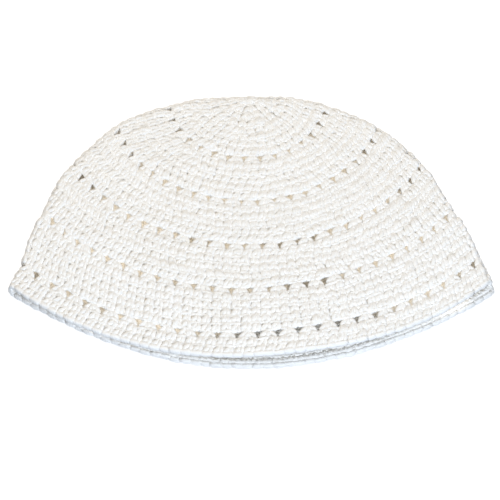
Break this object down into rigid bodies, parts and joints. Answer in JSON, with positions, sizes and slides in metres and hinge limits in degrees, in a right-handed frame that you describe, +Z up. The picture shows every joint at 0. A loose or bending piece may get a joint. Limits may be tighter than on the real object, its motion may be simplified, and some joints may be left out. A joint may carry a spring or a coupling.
{
  "type": "skullcap",
  "caption": "White crocheted cotton skullcap with rounds of small eyelets, lying flat and folded once through its crown.",
  "frame": {"origin": "on the floor, under the middle of the folded cap's bounding box", "axes": "+X to the right along the folded width, +Y from the open mouth to the crown fold, +Z up"},
  "size_m": [0.2476, 0.1794, 0.012],
  "materials": {
    "cotton_white": "matt crocheted cotton yarn, off-white"
  },
  "bodies": {
    "root": {"crocheted_cap": "cotton_white"}
  },
  "joints": []
}
